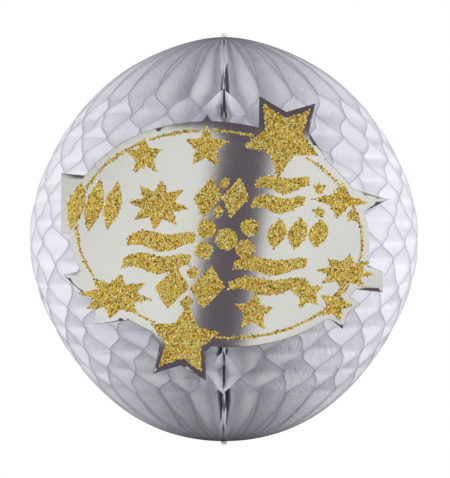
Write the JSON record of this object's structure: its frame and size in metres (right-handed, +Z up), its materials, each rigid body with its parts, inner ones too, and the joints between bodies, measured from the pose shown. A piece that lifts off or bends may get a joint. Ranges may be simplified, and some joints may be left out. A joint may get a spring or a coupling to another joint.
{
  "type": "paper honeycomb ball",
  "caption": "Hanging paper honeycomb ball that fans open from a flat half-disc stack, with card end covers and a bowed foil card on its front.",
  "frame": {"origin": "the hang point, on top of the thread knot at the ball's top pole", "axes": "+Z up along the spine of the ball, which hangs down from the origin; the foil card and the seam face -Y; +X to the right seen from the front"},
  "size_m": [0.288, 0.2911, 0.306],
  "materials": {
    "tissue": "thin translucent white tissue with a faint lavender tint and fine crinkles",
    "cover_card": "matte grey board",
    "foil": "mirror foil laminated on card, with a glitter print",
    "glitter": "coarse gold glitter set in clear glue",
    "tab_paper": "matte paper",
    "adhesive": "translucent double-sided adhesive foam",
    "thread": "white cotton thread"
  },
  "bodies": {
    "spine": {"cover_left": "cover_card", "foil_card": "foil", "card_tab": "tab_paper", "closure_pad_upper": "adhesive", "closure_pad_lower": "adhesive", "spine_thread": "thread", "top_knot": "thread", "bottom_knot": "thread"},
    "leaf_01": {"tissue_leaf_01": "tissue"},
    "leaf_02": {"tissue_leaf_02": "tissue"},
    "leaf_03": {"tissue_leaf_03": "tissue"},
    "leaf_04": {"tissue_leaf_04": "tissue"},
    "leaf_05": {"tissue_leaf_05": "tissue"},
    "leaf_06": {"tissue_leaf_06": "tissue"},
    "leaf_07": {"tissue_leaf_07": "tissue"},
    "leaf_08": {"tissue_leaf_08": "tissue"},
    "leaf_09": {"tissue_leaf_09": "tissue"},
    "leaf_10": {"tissue_leaf_10": "tissue"},
    "leaf_11": {"tissue_leaf_11": "tissue"},
    "leaf_12": {"tissue_leaf_12": "tissue"},
    "leaf_13": {"tissue_leaf_13": "tissue"},
    "leaf_14": {"tissue_leaf_14": "tissue"},
    "leaf_15": {"tissue_leaf_15": "tissue"},
    "leaf_16": {"tissue_leaf_16": "tissue"},
    "leaf_17": {"tissue_leaf_17": "tissue"},
    "leaf_18": {"tissue_leaf_18": "tissue"},
    "leaf_19": {"tissue_leaf_19": "tissue"},
    "leaf_20": {"tissue_leaf_20": "tissue"},
    "leaf_21": {"tissue_leaf_21": "tissue"},
    "leaf_22": {"tissue_leaf_22": "tissue"},
    "leaf_23": {"tissue_leaf_23": "tissue"},
    "leaf_24": {"tissue_leaf_24": "tissue"},
    "leaf_25": {"tissue_leaf_25": "tissue"},
    "leaf_26": {"tissue_leaf_26": "tissue"},
    "leaf_27": {"tissue_leaf_27": "tissue"},
    "leaf_28": {"tissue_leaf_28": "tissue"},
    "leaf_29": {"tissue_leaf_29": "tissue"},
    "leaf_30": {"tissue_leaf_30": "tissue"},
    "leaf_31": {"tissue_leaf_31": "tissue"},
    "leaf_32": {"tissue_leaf_32": "tissue"},
    "leaf_33": {"tissue_leaf_33": "tissue"},
    "leaf_34": {"tissue_leaf_34": "tissue"},
    "leaf_35": {"tissue_leaf_35": "tissue"},
    "leaf_36": {"tissue_leaf_36": "tissue"},
    "leaf_37": {"tissue_leaf_37": "tissue"},
    "leaf_38": {"tissue_leaf_38": "tissue"},
    "leaf_39": {"tissue_leaf_39": "tissue"},
    "leaf_40": {"tissue_leaf_40": "tissue"},
    "leaf_41": {"tissue_leaf_41": "tissue"},
    "leaf_42": {"tissue_leaf_42": "tissue"},
    "leaf_43": {"tissue_leaf_43": "tissue"},
    "leaf_44": {"tissue_leaf_44": "tissue"},
    "leaf_45": {"tissue_leaf_45": "tissue"},
    "leaf_46": {"tissue_leaf_46": "tissue"},
    "leaf_47": {"tissue_leaf_47": "tissue"},
    "leaf_48": {"tissue_leaf_48": "tissue"},
    "leaf_49": {"tissue_leaf_49": "tissue"},
    "leaf_50": {"tissue_leaf_50": "tissue"},
    "right_cover": {"cover_right": "cover_card"}
  },
  "joints": [
    {"name": "fan_open", "type": "hinge", "parent": "spine", "child": "leaf_01", "pos_m": [0, 0, -0.153], "axis": [0, 0, 1], "range_deg": [0, 3.54]},
    {"name": "fan_02", "type": "hinge", "parent": "leaf_01", "child": "leaf_02", "pos_m": [0, 0, -0.153], "axis": [0, 0, 1], "range_deg": [0, 7.08]},
    {"name": "fan_03", "type": "hinge", "parent": "leaf_02", "child": "leaf_03", "pos_m": [0, 0, -0.153], "axis": [0, 0, 1], "range_deg": [0, 7.08]},
    {"name": "fan_04", "type": "hinge", "parent": "leaf_03", "child": "leaf_04", "pos_m": [0, 0, -0.153], "axis": [0, 0, 1], "range_deg": [0, 7.08]},
    {"name": "fan_05", "type": "hinge", "parent": "leaf_04", "child": "leaf_05", "pos_m": [0, 0, -0.153], "axis": [0, 0, 1], "range_deg": [0, 7.08]},
    {"name": "fan_06", "type": "hinge", "parent": "leaf_05", "child": "leaf_06", "pos_m": [0, 0, -0.153], "axis": [0, 0, 1], "range_deg": [0, 7.08]},
    {"name": "fan_07", "type": "hinge", "parent": "leaf_06", "child": "leaf_07", "pos_m": [0, 0, -0.153], "axis": [0, 0, 1], "range_deg": [0, 7.08]},
    {"name": "fan_08", "type": "hinge", "parent": "leaf_07", "child": "leaf_08", "pos_m": [0, 0, -0.153], "axis": [0, 0, 1], "range_deg": [0, 7.08]},
    {"name": "fan_09", "type": "hinge", "parent": "leaf_08", "child": "leaf_09", "pos_m": [0, 0, -0.153], "axis": [0, 0, 1], "range_deg": [0, 7.08]},
    {"name": "fan_10", "type": "hinge", "parent": "leaf_09", "child": "leaf_10", "pos_m": [0, 0, -0.153], "axis": [0, 0, 1], "range_deg": [0, 7.08]},
    {"name": "fan_11", "type": "hinge", "parent": "leaf_10", "child": "leaf_11", "pos_m": [0, 0, -0.153], "axis": [0, 0, 1], "range_deg": [0, 7.08]},
    {"name": "fan_12", "type": "hinge", "parent": "leaf_11", "child": "leaf_12", "pos_m": [0, 0, -0.153], "axis": [0, 0, 1], "range_deg": [0, 7.08]},
    {"name": "fan_13", "type": "hinge", "parent": "leaf_12", "child": "leaf_13", "pos_m": [0, 0, -0.153], "axis": [0, 0, 1], "range_deg": [0, 7.08]},
    {"name": "fan_14", "type": "hinge", "parent": "leaf_13", "child": "leaf_14", "pos_m": [0, 0, -0.153], "axis": [0, 0, 1], "range_deg": [0, 7.08]},
    {"name": "fan_15", "type": "hinge", "parent": "leaf_14", "child": "leaf_15", "pos_m": [0, 0, -0.153], "axis": [0, 0, 1], "range_deg": [0, 7.08]},
    {"name": "fan_16", "type": "hinge", "parent": "leaf_15", "child": "leaf_16", "pos_m": [0, 0, -0.153], "axis": [0, 0, 1], "range_deg": [0, 7.08]},
    {"name": "fan_17", "type": "hinge", "parent": "leaf_16", "child": "leaf_17", "pos_m": [0, 0, -0.153], "axis": [0, 0, 1], "range_deg": [0, 7.08]},
    {"name": "fan_18", "type": "hinge", "parent": "leaf_17", "child": "leaf_18", "pos_m": [0, 0, -0.153], "axis": [0, 0, 1], "range_deg": [0, 7.08]},
    {"name": "fan_19", "type": "hinge", "parent": "leaf_18", "child": "leaf_19", "pos_m": [0, 0, -0.153], "axis": [0, 0, 1], "range_deg": [0, 7.08]},
    {"name": "fan_20", "type": "hinge", "parent": "leaf_19", "child": "leaf_20", "pos_m": [0, 0, -0.153], "axis": [0, 0, 1], "range_deg": [0, 7.08]},
    {"name": "fan_21", "type": "hinge", "parent": "leaf_20", "child": "leaf_21", "pos_m": [0, 0, -0.153], "axis": [0, 0, 1], "range_deg": [0, 7.08]},
    {"name": "fan_22", "type": "hinge", "parent": "leaf_21", "child": "leaf_22", "pos_m": [0, 0, -0.153], "axis": [0, 0, 1], "range_deg": [0, 7.08]},
    {"name": "fan_23", "type": "hinge", "parent": "leaf_22", "child": "leaf_23", "pos_m": [0, 0, -0.153], "axis": [0, 0, 1], "range_deg": [0, 7.08]},
    {"name": "fan_24", "type": "hinge", "parent": "leaf_23", "child": "leaf_24", "pos_m": [0, 0, -0.153], "axis": [0, 0, 1], "range_deg": [0, 7.08]},
    {"name": "fan_25", "type": "hinge", "parent": "leaf_24", "child": "leaf_25", "pos_m": [0, 0, -0.153], "axis": [0, 0, 1], "range_deg": [0, 7.08]},
    {"name": "fan_26", "type": "hinge", "parent": "leaf_25", "child": "leaf_26", "pos_m": [0, 0, -0.153], "axis": [0, 0, 1], "range_deg": [0, 7.08]},
    {"name": "fan_27", "type": "hinge", "parent": "leaf_26", "child": "leaf_27", "pos_m": [0, 0, -0.153], "axis": [0, 0, 1], "range_deg": [0, 7.08]},
    {"name": "fan_28", "type": "hinge", "parent": "leaf_27", "child": "leaf_28", "pos_m": [0, 0, -0.153], "axis": [0, 0, 1], "range_deg": [0, 7.08]},
    {"name": "fan_29", "type": "hinge", "parent": "leaf_28", "child": "leaf_29", "pos_m": [0, 0, -0.153], "axis": [0, 0, 1], "range_deg": [0, 7.08]},
    {"name": "fan_30", "type": "hinge", "parent": "leaf_29", "child": "leaf_30", "pos_m": [0, 0, -0.153], "axis": [0, 0, 1], "range_deg": [0, 7.08]},
    {"name": "fan_31", "type": "hinge", "parent": "leaf_30", "child": "leaf_31", "pos_m": [0, 0, -0.153], "axis": [0, 0, 1], "range_deg": [0, 7.08]},
    {"name": "fan_32", "type": "hinge", "parent": "leaf_31", "child": "leaf_32", "pos_m": [0, 0, -0.153], "axis": [0, 0, 1], "range_deg": [0, 7.08]},
    {"name": "fan_33", "type": "hinge", "parent": "leaf_32", "child": "leaf_33", "pos_m": [0, 0, -0.153], "axis": [0, 0, 1], "range_deg": [0, 7.08]},
    {"name": "fan_34", "type": "hinge", "parent": "leaf_33", "child": "leaf_34", "pos_m": [0, 0, -0.153], "axis": [0, 0, 1], "range_deg": [0, 7.08]},
    {"name": "fan_35", "type": "hinge", "parent": "leaf_34", "child": "leaf_35", "pos_m": [0, 0, -0.153], "axis": [0, 0, 1], "range_deg": [0, 7.08]},
    {"name": "fan_36", "type": "hinge", "parent": "leaf_35", "child": "leaf_36", "pos_m": [0, 0, -0.153], "axis": [0, 0, 1], "range_deg": [0, 7.08]},
    {"name": "fan_37", "type": "hinge", "parent": "leaf_36", "child": "leaf_37", "pos_m": [0, 0, -0.153], "axis": [0, 0, 1], "range_deg": [0, 7.08]},
    {"name": "fan_38", "type": "hinge", "parent": "leaf_37", "child": "leaf_38", "pos_m": [0, 0, -0.153], "axis": [0, 0, 1], "range_deg": [0, 7.08]},
    {"name": "fan_39", "type": "hinge", "parent": "leaf_38", "child": "leaf_39", "pos_m": [0, 0, -0.153], "axis": [0, 0, 1], "range_deg": [0, 7.08]},
    {"name": "fan_40", "type": "hinge", "parent": "leaf_39", "child": "leaf_40", "pos_m": [0, 0, -0.153], "axis": [0, 0, 1], "range_deg": [0, 7.08]},
    {"name": "fan_41", "type": "hinge", "parent": "leaf_40", "child": "leaf_41", "pos_m": [0, 0, -0.153], "axis": [0, 0, 1], "range_deg": [0, 7.08]},
    {"name": "fan_42", "type": "hinge", "parent": "leaf_41", "child": "leaf_42", "pos_m": [0, 0, -0.153], "axis": [0, 0, 1], "range_deg": [0, 7.08]},
    {"name": "fan_43", "type": "hinge", "parent": "leaf_42", "child": "leaf_43", "pos_m": [0, 0, -0.153], "axis": [0, 0, 1], "range_deg": [0, 7.08]},
    {"name": "fan_44", "type": "hinge", "parent": "leaf_43", "child": "leaf_44", "pos_m": [0, 0, -0.153], "axis": [0, 0, 1], "range_deg": [0, 7.08]},
    {"name": "fan_45", "type": "hinge", "parent": "leaf_44", "child": "leaf_45", "pos_m": [0, 0, -0.153], "axis": [0, 0, 1], "range_deg": [0, 7.08]},
    {"name": "fan_46", "type": "hinge", "parent": "leaf_45", "child": "leaf_46", "pos_m": [0, 0, -0.153], "axis": [0, 0, 1], "range_deg": [0, 7.08]},
    {"name": "fan_47", "type": "hinge", "parent": "leaf_46", "child": "leaf_47", "pos_m": [0, 0, -0.153], "axis": [0, 0, 1], "range_deg": [0, 7.08]},
    {"name": "fan_48", "type": "hinge", "parent": "leaf_47", "child": "leaf_48", "pos_m": [0, 0, -0.153], "axis": [0, 0, 1], "range_deg": [0, 7.08]},
    {"name": "fan_49", "type": "hinge", "parent": "leaf_48", "child": "leaf_49", "pos_m": [0, 0, -0.153], "axis": [0, 0, 1], "range_deg": [0, 7.08]},
    {"name": "fan_50", "type": "hinge", "parent": "leaf_49", "child": "leaf_50", "pos_m": [0, 0, -0.153], "axis": [0, 0, 1], "range_deg": [0, 7.08]},
    {"name": "fan_right_cover", "type": "hinge", "parent": "leaf_50", "child": "right_cover", "pos_m": [0, 0, -0.153], "axis": [0, 0, 1], "range_deg": [0, 3.54]}
  ],
  "couplings": [
    {"joint": "fan_02", "follows": "fan_open", "ratio": 2},
    {"joint": "fan_03", "follows": "fan_open", "ratio": 2},
    {"joint": "fan_04", "follows": "fan_open", "ratio": 2},
    {"joint": "fan_05", "follows": "fan_open", "ratio": 2},
    {"joint": "fan_06", "follows": "fan_open", "ratio": 2},
    {"joint": "fan_07", "follows": "fan_open", "ratio": 2},
    {"joint": "fan_08", "follows": "fan_open", "ratio": 2},
    {"joint": "fan_09", "follows": "fan_open", "ratio": 2},
    {"joint": "fan_10", "follows": "fan_open", "ratio": 2},
    {"joint": "fan_11", "follows": "fan_open", "ratio": 2},
    {"joint": "fan_12", "follows": "fan_open", "ratio": 2},
    {"joint": "fan_13", "follows": "fan_open", "ratio": 2},
    {"joint": "fan_14", "follows": "fan_open", "ratio": 2},
    {"joint": "fan_15", "follows": "fan_open", "ratio": 2},
    {"joint": "fan_16", "follows": "fan_open", "ratio": 2},
    {"joint": "fan_17", "follows": "fan_open", "ratio": 2},
    {"joint": "fan_18", "follows": "fan_open", "ratio": 2},
    {"joint": "fan_19", "follows": "fan_open", "ratio": 2},
    {"joint": "fan_20", "follows": "fan_open", "ratio": 2},
    {"joint": "fan_21", "follows": "fan_open", "ratio": 2},
    {"joint": "fan_22", "follows": "fan_open", "ratio": 2},
    {"joint": "fan_23", "follows": "fan_open", "ratio": 2},
    {"joint": "fan_24", "follows": "fan_open", "ratio": 2},
    {"joint": "fan_25", "follows": "fan_open", "ratio": 2},
    {"joint": "fan_26", "follows": "fan_open", "ratio": 2},
    {"joint": "fan_27", "follows": "fan_open", "ratio": 2},
    {"joint": "fan_28", "follows": "fan_open", "ratio": 2},
    {"joint": "fan_29", "follows": "fan_open", "ratio": 2},
    {"joint": "fan_30", "follows": "fan_open", "ratio": 2},
    {"joint": "fan_31", "follows": "fan_open", "ratio": 2},
    {"joint": "fan_32", "follows": "fan_open", "ratio": 2},
    {"joint": "fan_33", "follows": "fan_open", "ratio": 2},
    {"joint": "fan_34", "follows": "fan_open", "ratio": 2},
    {"joint": "fan_35", "follows": "fan_open", "ratio": 2},
    {"joint": "fan_36", "follows": "fan_open", "ratio": 2},
    {"joint": "fan_37", "follows": "fan_open", "ratio": 2},
    {"joint": "fan_38", "follows": "fan_open", "ratio": 2},
    {"joint": "fan_39", "follows": "fan_open", "ratio": 2},
    {"joint": "fan_40", "follows": "fan_open", "ratio": 2},
    {"joint": "fan_41", "follows": "fan_open", "ratio": 2},
    {"joint": "fan_42", "follows": "fan_open", "ratio": 2},
    {"joint": "fan_43", "follows": "fan_open", "ratio": 2},
    {"joint": "fan_44", "follows": "fan_open", "ratio": 2},
    {"joint": "fan_45", "follows": "fan_open", "ratio": 2},
    {"joint": "fan_46", "follows": "fan_open", "ratio": 2},
    {"joint": "fan_47", "follows": "fan_open", "ratio": 2},
    {"joint": "fan_48", "follows": "fan_open", "ratio": 2},
    {"joint": "fan_49", "follows": "fan_open", "ratio": 2},
    {"joint": "fan_50", "follows": "fan_open", "ratio": 2},
    {"joint": "fan_right_cover", "follows": "fan_open", "ratio": 1}
  ]
}
